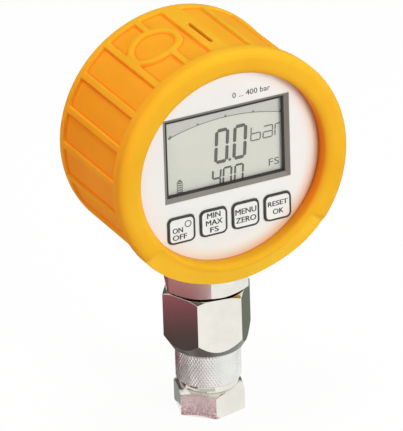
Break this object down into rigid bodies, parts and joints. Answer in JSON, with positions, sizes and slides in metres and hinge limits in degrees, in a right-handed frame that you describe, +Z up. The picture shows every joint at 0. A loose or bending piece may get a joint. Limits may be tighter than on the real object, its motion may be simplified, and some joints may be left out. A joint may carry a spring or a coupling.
{
  "type": "digital pressure gauge",
  "caption": "Digital pressure gauge: round display head in a ribbed rubber boot, swivelling on a hexagon stem with an adapter and a knurled union nut for test points.",
  "frame": {"origin": "on the stem's axis, at the first turn of the union nut's thread", "axes": "+Z up along the stem's axis towards the head, the display faces -Y, +X to the viewer's right"},
  "size_m": [0.085, 0.05, 0.1395],
  "materials": {
    "boot_rubber": "satin orange-yellow moulded rubber",
    "housing_paint": "fine grey paint on die-cast zinc",
    "face_plastic": "glossy white",
    "frame_plastic": "satin grey",
    "clear_window": "clear",
    "lcd_glass": "grey-green liquid crystal panel",
    "ivory_plastic": "moulded",
    "silicone": "matt",
    "circuit_board": "green solder mask",
    "black_plastic": "moulded",
    "plated_steel": "zinc plated",
    "lead_insulation": "red sleeve",
    "battery_jacket": "plain dark jacket",
    "spring_brass": "bright",
    "black_rubber": "matt",
    "bright_nickel": "bright nickel plated steel",
    "white_washer": "smooth bearing plastic",
    "spring_steel": "dark",
    "sensor_steel": "fine ground stainless"
  },
  "bodies": {
    "connector": {"gauge_stem": "bright_nickel", "thrust_washer": "white_washer", "swivel_seal": "black_rubber", "retaining_ring": "spring_steel", "pressure_sensor": "sensor_steel", "sensor_seal": "black_rubber", "sensor_clamp": "plated_steel", "adapter_body": "bright_nickel", "port_seal": "black_rubber", "nose_seal": "black_rubber", "opening_pin": "plated_steel", "nut_wire": "spring_steel"},
    "head": {"protective_boot": "boot_rubber", "housing": "housing_paint", "front_plate": "face_plastic", "display_frame": "frame_plastic", "display_window": "clear_window", "lcd_glass": "lcd_glass", "lcd_holder": "ivory_plastic", "contact_strips": "silicone", "main_board": "circuit_board", "board_parts": "black_plastic", "key_switches": "black_plastic", "board_screws": "plated_steel", "sensor_socket": "ivory_plastic", "sensor_lead": "lead_insulation", "battery_tray": "black_plastic", "battery_upper": "battery_jacket", "battery_lower": "battery_jacket", "battery_contacts": "spring_brass", "battery_foam": "black_rubber", "rear_cover": "housing_paint", "cover_gasket": "black_rubber", "cover_screws": "plated_steel", "stop_pin": "plated_steel"},
    "nut": {"union_nut": "bright_nickel"},
    "key_power": {"key_power": "face_plastic"},
    "key_peak": {"key_peak": "face_plastic"},
    "key_menu": {"key_menu": "face_plastic"},
    "key_reset": {"key_reset": "face_plastic"}
  },
  "joints": [
    {"name": "head_swivel", "type": "hinge", "parent": "connector", "child": "head", "pos_m": [0, 0, 0.06], "axis": [0, 0, 1], "range_deg": [-160, 160]},
    {"name": "nut_spin", "type": "hinge", "parent": "connector", "child": "nut", "pos_m": [0, 0, 0.015], "axis": [0, 0, 1], "continuous": true},
    {"name": "press_power", "type": "slide", "parent": "head", "child": "key_power", "axis": [0, 1, 0], "range_m": [0, 0.0004], "stiffness_N_per_m": 7500, "springref_m": -0.0001},
    {"name": "press_peak", "type": "slide", "parent": "head", "child": "key_peak", "axis": [0, 1, 0], "range_m": [0, 0.0004], "stiffness_N_per_m": 7500, "springref_m": -0.0001},
    {"name": "press_menu", "type": "slide", "parent": "head", "child": "key_menu", "axis": [0, 1, 0], "range_m": [0, 0.0004], "stiffness_N_per_m": 7500, "springref_m": -0.0001},
    {"name": "press_reset", "type": "slide", "parent": "head", "child": "key_reset", "axis": [0, 1, 0], "range_m": [0, 0.0004], "stiffness_N_per_m": 7500, "springref_m": -0.0001}
  ]
}
